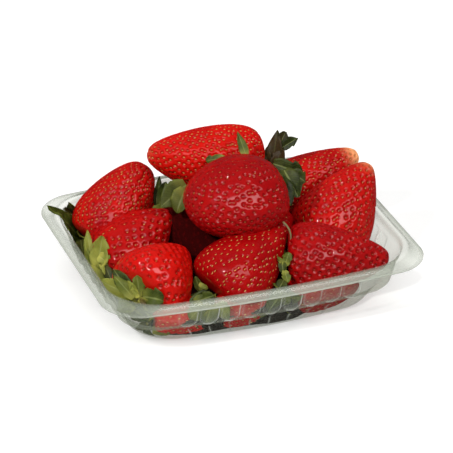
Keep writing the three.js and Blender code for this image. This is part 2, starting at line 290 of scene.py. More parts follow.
# %% Tray loops
TRAY_LENGTH = 160
TRAY_WIDTH = 126.5
SIDE_BOW = 4.8
FLANGE_Z = 26.8
BEAD_Z = 29.6
BEAD_INSET = 6.0
LEDGE_Z = 11.3
WALL_LOOPS = [
    (0.0, FLANGE_Z, 18), (3.4, FLANGE_Z, 22), (4.4, 29.0, 24), (BEAD_INSET, 29.0, 24), (7.2, 25.1, 23),
    (8.4, 22.6, 22), (12.2, LEDGE_Z, 16), (15.8, 10.8, 17), (20.0, 1.2, 19), (21.8, 0.0, 18),
]
PACKED_SHEET = 0.6
CLEARANCE = 0.35
FRUIT_GAP = CLEARANCE + PACKED_SHEET
FREE_ABOVE = 0.6
FREE_LEAN = 1.6
JUST_INSIDE = 0.999


def side_bow(x, half_length, half_width):
    """How much wider the tray is at x than at its ends, as a factor on y."""
    return 1 + SIDE_BOW * np.cos(np.pi * x / (2 * half_length)) / half_width


def press_inside(points, gap=FRUIT_GAP):
    """Moves points that are through the wall or floor back inside. Above the bead they go free."""
    insets, heights, radii = zip(*[loop for loop in WALL_LOOPS[::-1] if loop[0] >= BEAD_INSET])
    z = np.maximum(points[:, 2], gap)
    above = np.maximum(z - BEAD_Z - FREE_ABOVE, 0)
    inset = np.interp(z, heights, insets) + gap - above * FREE_LEAN
    radius = np.interp(z, heights, radii) - gap
    half_length = TRAY_LENGTH / 2 - inset
    half_width = TRAY_WIDTH / 2 - inset
    x = np.clip(points[:, 0], -half_length * JUST_INSIDE, half_length * JUST_INSIDE)
    bow = side_bow(x, half_length, half_width)
    y = points[:, 1] / bow
    over_x = np.abs(x) - (half_length - radius)
    over_y = np.abs(y) - (half_width - radius)
    reach = np.hypot(over_x, over_y)
    corner = (over_x > 0) & (over_y > 0) & (reach > radius)
    share = np.where(corner, radius / np.maximum(reach, 1e-6), 1)
    x = np.where(corner, np.sign(x) * (half_length - radius + over_x * share), x)
    y = np.where(corner, np.sign(y) * (half_width - radius + over_y * share), y)
    y = np.clip(y, -half_width, half_width)
    return np.stack([x, y * bow, z], 1)


print("the tray's floor is", TRAY_LENGTH - 2 * WALL_LOOPS[-1][0], "mm long")

# %% [markdown]
# ## The skin of a berry
# A strawberry is a blunt cone with soft shoulders and a dimple where the leaves sit. A sphere would
# have to be pushed about by hand, so the skin is a surface of two numbers instead: `turn` runs from
# the stem (0) to the tip (pi), and `angle` goes round. The same function gives the mesh and the
# places of the seeds, which therefore always lie on the skin. Three broad lobes and seven faint
# ripples keep it from being a turned part, and a few berries have furrows along them: the angle
# round the berry, the depth, and the width in degrees.

# %% Berry skin
SHOULDER = 0.22
LOBE_DEPTH = 0.03
RIPPLE_DEPTH = 0.012
DIMPLE_DEPTH = 1.8
DIMPLE_REACH = 0.32
FURROWS = {1: ((-150, 1.6, 14), (150, 1.0, 16)), 3: ((75, 1.3, 12),), 6: ((110, 1.0, 20),)}


def ridge(value, middle, reach):
    """1 at the middle, falling softly to 0 on both sides."""
    return np.exp(-(((value - middle) / reach) ** 2))


def berry_axes(berry):
    heading = math.radians(berry["heading"])
    tilt = math.radians(berry["tilt"])
    tip = np.array([math.cos(heading) * math.cos(tilt), math.sin(heading) * math.cos(tilt), math.sin(tilt)])
    across = np.array([-math.sin(heading), math.cos(heading), 0.0])
    return tip, across, np.cross(tip, across)


def blunt_cone(berry, turn):
    """The berry's thickness from stem to tip as a share of the most. Its shoulders are fuller."""

    def outline(at):
        blunt = berry["blunt"] * (1 - SHOULDER * (0.5 + 0.5 * np.cos(at)))
        return np.sin(at) ** blunt * (1 + berry["taper"] * np.cos(at))

    return outline(turn) / outline(np.linspace(0, np.pi, 181)).max()


def berry_skin(number, turn, angle):
    """Points of berry number's smooth skin, in millimetres."""
    berry = STRAWBERRIES[number]
    length, wide, deep = berry["size"]
    tip, across, up = berry_axes(berry)
    radius = blunt_cone(berry, turn)
    radius = radius * (1 + LOBE_DEPTH * np.cos(3 * angle + number) * np.sin(turn + number))
    radius = radius * (1 + RIPPLE_DEPTH * np.cos(7 * angle + 2 * number) * np.sin(2.3 * turn + number))
    fold = np.zeros_like(turn)
    for place, depth, width in FURROWS.get(number, ()):
        away = (angle - math.radians(place) + np.pi) % (2 * np.pi) - np.pi
        fold = fold + depth * ridge(away, 0, math.radians(width))
    radius = radius - fold * np.sin(turn) ** 1.5 / (deep / 2)
    along = -(length / 2) * np.cos(turn) + DIMPLE_DEPTH * ridge(turn, 0, DIMPLE_REACH)
    points = (
        np.array(berry["at"])
        + along[:, None] * tip
        + (radius * (wide / 2) * np.cos(angle))[:, None] * across
        + (radius * (deep / 2) * np.sin(angle))[:, None] * up
    )
    return press_inside(points)


print("berry 1 tip at", berry_skin(0, np.array([np.pi]), np.array([0.0]))[0].round(1), "mm")

# %% [markdown]
# ## Turning points into meshes
# A closed skin is a stack of rings with a single point at each end. Attributes ride along on the
# points: the materials read them to know how ripe the skin is, or where a leaf's edge is. The
# berries that show have small faces, because their pits are pressed into the mesh itself.


# %% Mesh helpers
def new_piece(name, points_mm, faces, attributes=None):
    mesh = bpy.data.meshes.new(name)
    mesh.from_pydata((np.asarray(points_mm) * MM).tolist(), [], faces)
    for key, values in (attributes or {}).items():
        layer = mesh.attributes.new(key, "FLOAT", "POINT")
        layer.data.foreach_set("value", np.asarray(values, np.float32))
    mesh.validate()
    mesh.shade_smooth()
    piece = bpy.data.objects.new(name, mesh)
    bpy.context.scene.collection.objects.link(piece)
    return piece


def skin_grid(rings, sides):
    """`turn` and `angle` of every point of a closed skin: one end, the rings, the other end."""
    turn = np.repeat(np.linspace(0, np.pi, rings + 2)[1:-1], sides)
    angle = np.tile(np.arange(sides) * 2 * np.pi / sides, rings)
    return np.concatenate([[0.0], turn, [np.pi]]), np.concatenate([[0.0], angle, [0.0]])


def stack_faces(rings, sides):
    """Faces of a stack of rings, with point 0 before the first ring and one more after the last."""
    faces = []
    last = 1 + rings * sides
    for i in range(sides):
        j = (i + 1) % sides
        faces.append((0, 1 + j, 1 + i))
        for k in range(rings - 1):
            a = 1 + k * sides
            b = a + sides
            faces.append((a + i, a + j, b + j, b + i))
        faces.append((last - sides + i, last - sides + j, last))
    return faces


def triangles_of(piece):
    return sum(len(face.vertices) - 2 for face in piece.data.polygons)


def unit_rows(vectors):
    return vectors / np.maximum(np.linalg.norm(vectors, axis=1, keepdims=True), 1e-6)


def rise(value, start, length):
    """0 up to the start, 1 from a length beyond it, straight between. A length below 0 falls."""
    return np.clip((value - start) / length, 0, 1)


print("a stack of 2 rings of 4 points has", len(stack_faces(2, 4)), "faces")

# %% Smooth berries
FINE_STEP = 0.42
COARSE_STEP = 0.8
SKIN_STRETCH = 1.25
GIRTH_SHARE = 0.94
PALE_FROM = 0.68
PALE_LENGTH = 0.32
PALE_CURVE = 1.3


def smooth_berry(number):
    berry = STRAWBERRIES[number]
    length, wide, deep = berry["size"]
    step = FINE_STEP if number < SHOWN else COARSE_STEP
    rings = int(SKIN_STRETCH * length / step)
    sides = int(np.pi * (wide + deep) / 2 / step * GIRTH_SHARE)
    turn, angle = skin_grid(rings, sides)
    values = {
        "ripe": np.full_like(turn, berry["ripe"]),
        "gloss": np.full_like(turn, berry["gloss"]),
        "pale": berry["pale"] * rise(turn / np.pi, PALE_FROM, PALE_LENGTH) ** PALE_CURVE,
    }
    name = f"strawberry_{number + 1:02d}"
    return new_piece(name, berry_skin(number, turn, angle), stack_faces(rings, sides), values)


berries = [smooth_berry(number) for number in range(len(STRAWBERRIES))]
print(sum(triangles_of(piece) for piece in berries), "triangles in the berries")

# %% [markdown]
# ## Where the seeds grow
# The seeds of a strawberry stand in spirals, as on a pine cone. Random places would leave clumps
# and bare spots. So each next seed is turned by the golden angle, and moved on so that every seed
# has the same share of the skin. Two directions are kept for each: outwards and towards the tip.

# %% Seed places
GOLDEN_ANGLE = math.pi * (3 - math.sqrt(5))
SKIN_STATIONS = 400
PACKING = 0.87
JITTER = 0.05
BARE_SHOULDER = 0.42
BARE_TIP = 0.03
NUDGE = 0.02
random = np.random.default_rng(7)


def seed_places(number):
    """Where a berry's seeds stand, with the directions outwards and tipwards there."""
    berry = STRAWBERRIES[number]
    length, wide, deep = berry["size"]
    turns = np.linspace(0, np.pi, SKIN_STATIONS)
    radius = blunt_cone(berry, turns) * (wide + deep) / 4
    along = -(length / 2) * np.cos(turns)
    strip = np.hypot(np.diff(along), np.diff(radius)) * (radius[1:] + radius[:-1]) * np.pi
    covered = np.concatenate([[0], np.cumsum(strip)])
    count = int(covered[-1] / (berry["spacing"] ** 2 * PACKING))
    share = (np.arange(count) + 0.5) / count
    turn = np.interp(share * covered[-1], covered, turns)
    turn = turn + random.normal(0, JITTER, count) * berry["spacing"] / (length / 2)
    angle = np.arange(count) * GOLDEN_ANGLE + random.normal(0, JITTER, count)
    keep = (turn > BARE_SHOULDER) & (turn < np.pi - BARE_TIP)
    turn = turn[keep]
    angle = angle[keep]
    place = berry_skin(number, turn, angle)
    tipwards = berry_skin(number, turn + NUDGE, angle) - berry_skin(number, turn - NUDGE, angle)
    around = berry_skin(number, turn, angle + NUDGE) - berry_skin(number, turn, angle - NUDGE)
    outwards = unit_rows(np.cross(around, tipwards))
    from_middle = place - np.array(berry["at"])
    outwards = outwards * np.sign((from_middle * outwards).sum(1))[:, None]
    return place, outwards, tipwards


seed_rows = [seed_places(number) for number in range(len(STRAWBERRIES))]
print(sum(len(row[0]) for row in seed_rows), "seeds before the hidden ones are left out")

# %% [markdown]
# ## Pits with Geometry Nodes
# A seed sits in a small pit. A bump in the material would leave the outline smooth, so the pits are
# pressed into the mesh. Geometry Nodes measure, for each point of the skin, how far the nearest
# seed is, and push the point inwards if that is less than half a pit. The measured depth is stored
# as an attribute, so that the material can paint shade into the pits.


# %% Pit tree
def new_tree(name, inputs):
    """A Geometry Nodes tree with named inputs, its maker, and the wires of its inputs by name."""
    tree = bpy.data.node_groups.new(name, "GeometryNodeTree")
    tree.interface.new_socket("Geometry", in_out="INPUT", socket_type="NodeSocketGeometry")
    tree.interface.new_socket("Geometry", in_out="OUTPUT", socket_type="NodeSocketGeometry")
    for label, kind in inputs.items():
        tree.interface.new_socket(label, in_out="INPUT", socket_type=kind)
    maker = NodeMaker(tree)
    start = tree.nodes.new("NodeGroupInput")
    wires = {socket.name: Wire(maker, socket) for socket in start.outputs if socket.name}
    return tree, maker, wires


def end_tree(maker, geometry, material):
    finished = maker.node("GeometryNodeSetMaterial", {"Geometry": geometry, "Material": material})
    maker.node("NodeGroupOutput", {"Geometry": finished})


PIT_FLOOR = 0.27
PIT_EDGE = 0.5


def pit_tree():
    tree, maker, given = new_tree("seed_pits", {
        "Seed places": "NodeSocketObject",
        "Pit width": "NodeSocketFloat",
        "Pit depth": "NodeSocketFloat",
        "Material": "NodeSocketMaterial",
    })
    places = maker.node("GeometryNodeObjectInfo", {"Object": given["Seed places"]}, output="Geometry")
    distance = maker.node(
        "GeometryNodeProximity", {0: places}, output="Distance", target_element="POINTS"
    )
    hollow = 1 - maker.ramp(distance, given["Pit width"] * PIT_FLOOR, given["Pit width"] * PIT_EDGE)
    normal = maker.node("GeometryNodeInputNormal", output="Normal")
    inwards = {"Vector": normal, "Scale": hollow * given["Pit depth"] * -1}
    push = maker.node("ShaderNodeVectorMath", inwards, operation="SCALE")
    pitted = maker.node("GeometryNodeSetPosition", {"Geometry": given["Geometry"], "Offset": push})
    depth_mm = {"Geometry": pitted, "Name": "pit", "Value": hollow * given["Pit depth"] * (1 / MM)}
    kept = maker.node("GeometryNodeStoreNamedAttribute", depth_mm, data_type="FLOAT", domain="POINT")
    end_tree(maker, kept, given["Material"])
    return tree


SEED_PITS = pit_tree()
print("tree", SEED_PITS.name, "has", len(SEED_PITS.nodes), "nodes")


# %% Run a tree and keep its mesh
def grow(piece, tree, values):
    """Runs a tree on a piece and keeps the result as its plain mesh."""
    modifier = piece.modifiers.new(tree.name, "NODES")
    modifier.node_group = tree
    for item in tree.interface.items_tree:
        if item.in_out == "INPUT" and item.name in values:
            modifier[item.identifier] = values[item.name]
    bpy.context.view_layer.update()
    evaluated = piece.evaluated_get(bpy.context.evaluated_depsgraph_get())
    mesh = bpy.data.meshes.new_from_object(evaluated)
    piece.modifiers.clear()
    old = piece.data
    piece.data = mesh
    bpy.data.meshes.remove(old)
    mesh.name = piece.name



# %% [markdown]
# ## The berry's finish
# The red of a ripe berry sits below a thin, wet-looking skin. So the colour goes on the base, a
# little light is let in under the surface, and a clear coat gives the sharp gleam. The pits get a
# darker red, painted shade in the hollows, and their floor has hardly any coat, so that the gleam
# stays on the skin between them. The berry in deep shade gets a near-black red, also painted shade.
# The tip of some berries stayed pale. Noise breaks the red up, so that no two places are quite the same.

# %% Berry material
BRIGHT_RED = rgb(0.54, 0.005, 0.002)
CRIMSON = rgb(0.27, 0.001, 0.002)
PAINTED_SHADE_RED = rgb(0.035, 0.001, 0.001)
UNRIPE = rgb(0.85, 0.36, 0.15)
PAINTED_PIT_SHADE = rgb(0.17, 0.002, 0.002)


def berry_surface(maker):
    pit = attribute(maker, "pit")
    ripe = attribute(maker, "ripe")
    blotches = noise(maker, 90)
    speckle = noise(maker, 900, 2)
    depth = maker.ramp(ripe + (blotches - 0.5) * 0.9, 0.0, 1.0)
    # painted shade: the berry in deep shade gets a near-black red in place of its own
    painted_shade = maker.ramp(ripe, 1.0, IN_SHADE)
    red = maker.mix(painted_shade, maker.mix(depth, BRIGHT_RED, CRIMSON), PAINTED_SHADE_RED)
    paleness = maker.ramp(attribute(maker, "pale") * 1.25 + (speckle - 0.5) * 0.35, 0.12, 1.0)
    skin = maker.mix(paleness, red, UNRIPE)
    pit_floor = maker.ramp(pit, 0.3, 0.75)
    return principled(maker, {
        # painted shade: the deeper the pit, the darker its red
        "Base Color": maker.mix(pit * 0.7, skin, PAINTED_PIT_SHADE),
        "Roughness": 0.30 + blotches * 0.12 + painted_shade * 0.6,
        "Normal": bump(maker, speckle, strength=0.25, distance=0.0004),
        "IOR": 1.42,
        "Subsurface Weight": 0.12,
        "Subsurface Radius": (1.0, 0.25, 0.12),
        "Subsurface Scale": 0.002,
        "Specular IOR Level": 0.06,
        "Coat Weight": (0.04 + attribute(maker, "gloss") * 0.8) * (1 - pit_floor * 0.85),
        "Coat Roughness": 0.045,
        "Coat IOR": 1.45,
    })


BERRY_SKIN = new_material("strawberry_skin", berry_surface)

# %% [markdown]
# ## Pressing the pits
# Each berry runs through the same tree with its own pit depth. A deep pit is also a wide one, so
# the width follows from the depth.

# %% Press the pits into each berry
WIDTH_OF_DEPTH = 3.5
for number, piece in enumerate(berries):
    pit = STRAWBERRIES[number]["pit"]
    marks = new_piece(f"marks_{number}", seed_rows[number][0], [])
    grow(piece, SEED_PITS, {
        "Seed places": marks,
        "Pit width": pit * WIDTH_OF_DEPTH * MM,
        "Pit depth": pit * MM,
        "Material": BERRY_SKIN,
    })
    bpy.data.objects.remove(marks)
print("pits pressed into", len(berries), "berries")

# %% [markdown]
# ## The seeds
# What looks like a seed is a tiny dry fruit: a drop a little over 1 mm long, set into its pit with
# the pointed end towards the tip. There are thousands, so each has only 30 triangles. One small
# drop is instanced on all the seed places, turned to lie along the skin, and made real. Pale seeds
# lie higher in their pits than dark ones, and those of one berry are slimmer than the others. Seeds
# that are hidden inside a neighbouring berry are left out, and so are all of the berry in deep
# shade.

# %% Seed drop
SEED_LENGTH = 1.25
SEED_WIDTH = 0.63
SEED_SIDES = 5
SEED_FLATNESS = 0.8
SEED_OUTLINE = ((0.14, 0.30), (0.42, 0.50), (0.74, 0.34))


def seed_drop():
    """A drop of length 1 and width 1 round the origin, with its point along x."""
    points = [(0.0, 0.0, 0.0)]
    for station, width in SEED_OUTLINE:
        for i in range(SEED_SIDES):
            angle = 2 * np.pi * i / SEED_SIDES
            points.append((station, width * np.cos(angle), SEED_FLATNESS * width * np.sin(angle)))
    points.append((1.0, 0.0, 0.0))
    centred = np.array(points) - np.array([0.5, 0, 0])
    piece = new_piece("seed_drop", centred, stack_faces(len(SEED_OUTLINE), SEED_SIDES))
    piece.data.flip_normals()
    return piece


drop = seed_drop()
print("a seed is", SEED_LENGTH, "by", SEED_WIDTH, "mm and has", triangles_of(drop), "triangles")

# %% Seed tree
SMALLEST_SEED = 0.82
LARGEST_SEED = 1.15


def seed_tree():
    tree, maker, given = new_tree("seeds_in_pits", {
        "Seed": "NodeSocketObject",
        "Length": "NodeSocketFloat",
        "Width": "NodeSocketFloat",
        "Material": "NodeSocketMaterial",
    })

    def stored(name, kind):
        return maker.node("GeometryNodeInputNamedAttribute", {"Name": name}, data_type=kind)

    axes = {
        "Primary Axis": stored("outwards", "FLOAT_VECTOR"),
        "Secondary Axis": stored("tipwards", "FLOAT_VECTOR"),
    }
    facing = maker.node("FunctionNodeAxesToRotation", axes, primary_axis="Z", secondary_axis="X")
    sizes = {"Min": SMALLEST_SEED, "Max": LARGEST_SEED, "Seed": 3}
    vary = maker.node("FunctionNodeRandomValue", sizes, data_type="FLOAT")
    slim = stored("slim", "FLOAT")
    across = given["Width"] * vary * (1 - slim * 0.25)
    along = given["Length"] * vary * (0.85 + slim * 0.3)
    size = maker.node("ShaderNodeCombineXYZ", {"X": along, "Y": across, "Z": across})
    seed = maker.node("GeometryNodeObjectInfo", {"Object": given["Seed"]}, output="Geometry")
    sown = maker.node(
        "GeometryNodeInstanceOnPoints",
        {"Points": given["Geometry"], "Instance": seed, "Rotation": facing, "Scale": size},
    )
    real = maker.node("GeometryNodeRealizeInstances", {"Geometry": sown})
    end_tree(maker, real, given["Material"])
    return tree


SEEDS_IN_PITS = seed_tree()
print("tree", SEEDS_IN_PITS.name, "has", len(SEEDS_IN_PITS.nodes), "nodes")

# %% Seed material
SEED_TONES = [
    (0.0, rgb(0.20, 0.012, 0.006)),
    (0.3, rgb(0.34, 0.07, 0.015)),
    (0.6, rgb(0.48, 0.24, 0.045)),
    (1.0, rgb(0.72, 0.46, 0.11)),
]


def seed_surface(maker):
    return principled(maker, {
        "Base Color": colours(maker, attribute(maker, "tone"), SEED_TONES),
        "Roughness": 0.38 + noise(maker, 1500, 1) * 0.15,
        "Coat Weight": 0.3,
        "Coat Roughness": 0.15,
    })


SEED_HUSK = new_material("seed_husk", seed_surface)

# %% Sow the seeds
# How slim the seeds are: fully on the berry in the middle of the front, a little on the others.
SLIM_SEEDS = {5: 1}
USUAL_SLIMNESS = 0.35
TONE_SPREAD = 0.13
SUNK_IN_PIT = 0.9
SUNK_DEEPER = 0.15
PALE_RISE = 0.35
INSIDE_SHARE = 0.985


def inside_berry(number, points):
    """Which of the points lie inside berry number."""
    berry = STRAWBERRIES[number]
    length, wide, deep = berry["size"]
    tip, across, up = berry_axes(berry)
    away = points - np.array(berry["at"])
    along = 2 * (away @ tip) / length
    reach = np.hypot(2 * (away @ across) / wide, 2 * (away @ up) / deep)
    thickness = blunt_cone(berry, np.arccos(np.clip(-along, -1, 1)))
    return (np.abs(along) < 1) & (reach < thickness * INSIDE_SHARE)


def seeds_of(number):
    """The seeds of a berry that may show: places, outwards, tipwards, tones and slimness."""
    berry = STRAWBERRIES[number]
    place, outwards, tipwards = seed_rows[number]
    seen = np.full(len(place), berry["ripe"] < IN_SHADE)
    for other in range(len(STRAWBERRIES)):
        if other != number:
            seen &= ~inside_berry(other, place)
    depth = berry["pit"] * SUNK_IN_PIT + SUNK_DEEPER - berry["seed"] * PALE_RISE
    sunk = place - outwards * depth
    tone = np.clip(berry["seed"] + random.normal(0, TONE_SPREAD, len(place)), 0, 1)
    slim = np.full(len(place), SLIM_SEEDS.get(number, USUAL_SLIMNESS))
    return [values[seen] for values in (sunk, outwards, tipwards, tone, slim)]


def sow(name, numbers):
    columns = zip(*[seeds_of(number) for number in numbers])
    places, outwards, tipwards, tone, slim = [np.concatenate(column) for column in columns]
    piece = new_piece(name, places, [], {"tone": tone, "slim": slim})
    for key, rows in (("outwards", outwards), ("tipwards", tipwards)):
        layer = piece.data.attributes.new(key, "FLOAT_VECTOR", "POINT")
        layer.data.foreach_set("vector", rows.astype(np.float32).ravel())
    grow(piece, SEEDS_IN_PITS, {
        "Seed": drop,
        "Length": SEED_LENGTH,
        "Width": SEED_WIDTH,
        "Material": SEED_HUSK,
    })
    piece.data.shade_smooth()
    return piece


seeds_top = sow("seeds_upper_berries", range(SHOWN))
seeds_low = sow("seeds_lower_berries", range(SHOWN, len(STRAWBERRIES)))
bpy.data.objects.remove(drop)
print(triangles_of(seeds_top), "and", triangles_of(seeds_low), "triangles in the seeds")

# %% [markdown]
# ## The leaves
# A strawberry's cap is a ring of pointed leaves round the stalk. Flat cards would be cheap, but they
# have no edge and no underside. So a leaf is a thin wavy solid: a sheet along a bent spine, folded a
# little at its midrib, wavy or torn at its edges, with a second sheet just below it and a strip that
# closes the edge. The leaves that show are placed one by one by where they start and end. The others
# open evenly round the stems of their berries.

# %% Leaf table
# Each leaf that shows: where it starts and where its point is, in millimetres, then its width, how
# far it bows outwards, its tone from dark to pale, how dry it is, and how many teeth it has.
PLACED_LEAVES = [
    # upper berry, at the back
    ((31.6, 26.6, 43.7), (36.8, 32.3, 61.4), 11.0, 3, -0.1, 0.75, 0),
    ((34.8, 28.3, 51.0), (40.3, 30.5, 60.5), 6.9, 2, -0.05, 0.5, 2),
    ((35.1, 27.7, 52.3), (44.7, 26.9, 57.1), 5.8, 1, 0.02, 0.05, 2),
    ((30.7, 24.0, 42.9), (36.9, 25.7, 54.1), 8.0, 1, 0.0, 0.9, 2),
    ((28.9, 27.6, 43.7), (31.2, 31.1, 53.6), 4.6, 1, 0.0, 0.8, 0),
    # front top berry
    ((14.0, 14.4, 57.8), (12.5, 22.9, 67.6), 6.4, 1, 0.33, 0, 0),
    ((4.2, 14.2, 59.6), (-6.2, 19.2, 57.5), 5.8, 1, 0.28, 0, 2),
    ((23.9, -3.0, 54.7), (25.7, -14.5, 43.9), 10.9, 2, 0.0, 0, 0),
    ((27.6, 1.4, 56.3), (30.8, -10.5, 45.9), 12.6, 2, 0.06, 0.05, 3),
    ((23.2, 6.1, 57.5), (37.6, -2.0, 52.4), 9.8, 1, 0.05, 0.05, 2),
    ((30.4, 1.8, 54.5), (37.1, -3.5, 49.5), 9.2, 1, 0.1, 0, 2),
    # left rear berry
    ((-57.6, 51.0, 12.3), (-68.5, 42.0, 36.3), 7.5, 1, 0.22, 0, 0),
    ((-55.9, 47.3, 2.7), (-77.6, 33.9, 35.4), 14.9, 1, 0.24, 0, 0),
    ((-57.4, 46.0, 3.6), (-72.9, 33.6, 27.1), 11.5, 1, 0.16, 0, 0),
    ((-63.0, 40.2, 15.4), (-66.1, 24.3, 10.8), 8.6, 1, 0.12, 0, 0),
    ((-64.0, 47.8, 23.9), (-70.8, 41.4, 33.7), 2.8, 1, 0.6, 0.8, 0),
    # left middle berry
    ((-67.6, 5.2, 14.3), (-67.5, 12.7, 23.5), 5.8, 1, 0.55, 0, 0),
    ((-67.0, 8.3, 15.9), (-65.8, 19.0, 31.4), 4.4, 1, 0.9, 0, 0),
    ((-67.6, 11.3, 16.6), (-67.2, 19.5, 27.1), 3.2, 1, 0.78, 0, 0),
    ((-65.5, 5.4, 16.0), (-60.5, 10.5, 30.4), 10.9, 1.5, 0.82, 0, 3),
    ((-64.5, 7.9, 23.2), (-60.2, 3.0, 19.5), 7.5, 1, 0.74, 0, 2),
    ((-67.2, 10.7, 20.1), (-62.1, -2.5, 8.6), 10.9, 2, 0.6, 0, 0),
    ((-65.9, 8.4, 18.9), (-65.7, -1.4, 10.3), 7.5, 2, 0.8, 0, 0),
    ((-62.1, 4.6, 19.0), (-59.6, -3.9, 9.9), 5.8, 1, 0.1, 0, 0),
    ((-63.6, 6.1, 20.7), (-63.3, -0.3, 15.8), 3.0, 1, 0.95, 0, 0),
    # front left berry
    ((-54.8, -30.2, 15.3), (-70.6, -15.9, 22.0), 9.7, 1.5, 0.92, 0, 0),
    ((-59.0, -28.2, 18.3), (-65.4, -18.2, 29.8), 9.8, 3, 0.14, 0, 0),
    ((-58.4, -32.2, 18.1), (-65.9, -22.9, 27.5), 7.4, 1, 0.48, 0, 0),
    ((-56.6, -32.8, 18.1), (-56.6, -28.9, 29.3), 8.0, 1, 0.46, 0, 3),
    ((-58.1, -36.0, 20.0), (-60.2, -33.6, 25.0), 3.4, 1, 0.85, 0.1, 0),
    ((-57.4, -33.7, 20.3), (-61.2, -29.5, 27.4), 3.4, 1, 0.78, 0, 0),
    ((-56.3, -32.0, 19.7), (-47.7, -40.0, 19.6), 10.8, 5, 0.24, 0, 2),
    ((-54.7, -33.1, 16.8), (-41.7, -38.3, 20.2), 8.5, 1, 0.14, 0, 0),
    ((-56.3, -30.4, 16.2), (-65.9, -28.1, 12.0), 9.2, 1, 0.6, 0, 0),
    ((-55.0, -32.3, 15.9), (-48.1, -36.6, 12.6), 8.0, 1, 0.45, 0.05, 0),
    ((-58.8, -33.7, 19.5), (-53.3, -37.7, 17.9), 3.9, 1, 1.0, 0.35, 0),
    ((-57.6, -34.5, 20.8), (-55.5, -38.3, 17.6), 2.8, 1, 0.9, 0.85, 0),
    # front middle berry
    ((-25.3, -29.6, 14.1), (-27.5, -27.6, 22.7), 5.8, 1.5, 0.28, 0, 0),
    ((-26.9, -28.5, 19.3), (-23.0, -33.2, 17.7), 3.0, 1, 0.6, 0, 0),
    ((-20.4, -32.8, 11.6), (-32.0, -30.2, 13.0), 8.0, 1, 0.12, 0, 0),
    ((-28.7, -32.1, 11.8), (-19.3, -36.7, 14.0), 4.6, 1, 0.6, 0, 0),
    ((-21.4, -41.2, 15.2), (-34.3, -38.4, 16.2), 10.9, 1, 0.12, 0, 0),
    ((-33.4, -40.1, 15.9), (-23.7, -42.0, 18.7), 6.9, 1, 0.22, 0, 2),
    ((-28.4, -45.4, 18.2), (-37.7, -48.0, 11.8), 10.9, 1, 0.5, 0, 0),
    ((-25.8, -46.4, 18.2), (-30.9, -52.4, 10.7), 10.9, 1, 0.36, 0, 0),
    ((-22.9, -45.3, 17.7), (-20.0, -53.8, 10.9), 10.3, 1, 0.55, 0, 0),
    ((-54.0, -39.1, 4.3), (-44.6, -46.3, 6.3), 8.0, 1, 0.62, 0, 0),
    ((-60.4, -29.1, 13.6), (-53.9, -38.9, 9.0), 10.9, 1, 0.14, 0, 0),
    ((-9.1, -52.5, 5.4), (2.2, -56.8, 9.3), 9.2, 1, 0.45, 0, 0),
    # front right berry
    ((13.4, -37.8, 24.5), (16.2, -36.9, 32.2), 5.5, 1, 0.45, 0, 2),
    ((13.2, -36.8, 26.2), (11.2, -35.4, 29.6), 3.0, 1, 0.5, 0, 0),
    ((13.1, -34.4, 28.2), (12.9, -39.0, 22.0), 4.6, 1, 0.12, 0, 0),
    ((13.4, -37.8, 24.5), (13.1, -44.0, 19.8), 4.6, 1, 0.45, 0, 2),
    ((13.4, -39.2, 19.9), (8.2, -42.5, 15.0), 7.5, 1, 0.08, 0, 0),
    ((8.6, -50.5, 20.3), (-1.4, -55.7, 13.1), 9.2, 1, 0.16, 0, 0),
    ((8.4, -50.9, 19.4), (7.0, -57.4, 15.6), 8.0, 1, 0.3, 0, 0),
    # between the rear berries
    ((-24.5, 36.7, 25.6), (-21.0, 41.9, 41.1), 5.8, 1, 0.04, 0, 0),
    ((-23.9, 35.4, 27.8), (-18.9, 38.9, 39.4), 6.3, 1, 0.08, 0, 0),
    ((-24.0, 33.5, 28.7), (-9.1, 31.6, 39.1), 5.3, 4, 0.58, 0.05, 0),
    ((-15.7, 15.5, 49.0), (-30.1, 12.2, 40.3), 13.8, 2.5, 0.28, 0.24, 0),
    ((-17.5, 13.3, 48.3), (-24.9, 6.7, 38.2), 12.1, 2, 0.4, 0.2, 0),
]
PLACED_FACE = (-0.33, -0.72, 0.61)
# For each berry but the last: at which angles round its stem the leaves stand that hardly show.
SCATTERED_CAPS = {
    0: (180, 225, 300), 1: (200, 270), 2: (0, 310), 3: (0, 300), 4: (0, 320), 5: (0, 180, 230, 280),
    6: (0, 60, 290), 7: (20, 90, 160, 230, 300), 8: (0, 70, 140, 210, 290), 9: (200, 260),
    10: (10, 80, 150, 220, 300), 11: (0, 60, 130, 190, 250, 310), 12: (20, 90, 160, 240, 310),
    13: (0, 80, 150, 220, 290), 14: (0, 60, 120, 180, 240, 300), 15: (10, 80, 150, 220, 290),
    16: (0, 70, 150, 210, 290),
}
print(len(PLACED_LEAVES), "leaves are placed one by one")

# %% Leaf sheets
LEAF_STATIONS = 23
LEAF_COLUMNS = 9
LEAF_START = 1.2
TORN_BLUNTNESS = 4.2
TORN_DEPTH = 0.34
WHOLE_DEPTH = 0.13


def unit(vector):
    return vector / max(np.linalg.norm(vector), 1e-9)


def half_widths(s, width, teeth, phase):
    """Half the leaf's width at each share of its length, with its rounded point and its teeth."""
    blunt = TORN_BLUNTNESS if teeth else 2.3 + 0.9 * math.sin(2.3 * phase)
    half = width / 2 * np.minimum(1, 0.42 + 1.7 * s) * (1 - s**blunt) ** 0.95
    notches = max(teeth, 2)
    deep = TORN_DEPTH if teeth else WHOLE_DEPTH
    return half * (1 - deep * ((s * notches + 0.2 * math.sin(phase)) % 1) * (s > 0.25) * (s < 0.97))


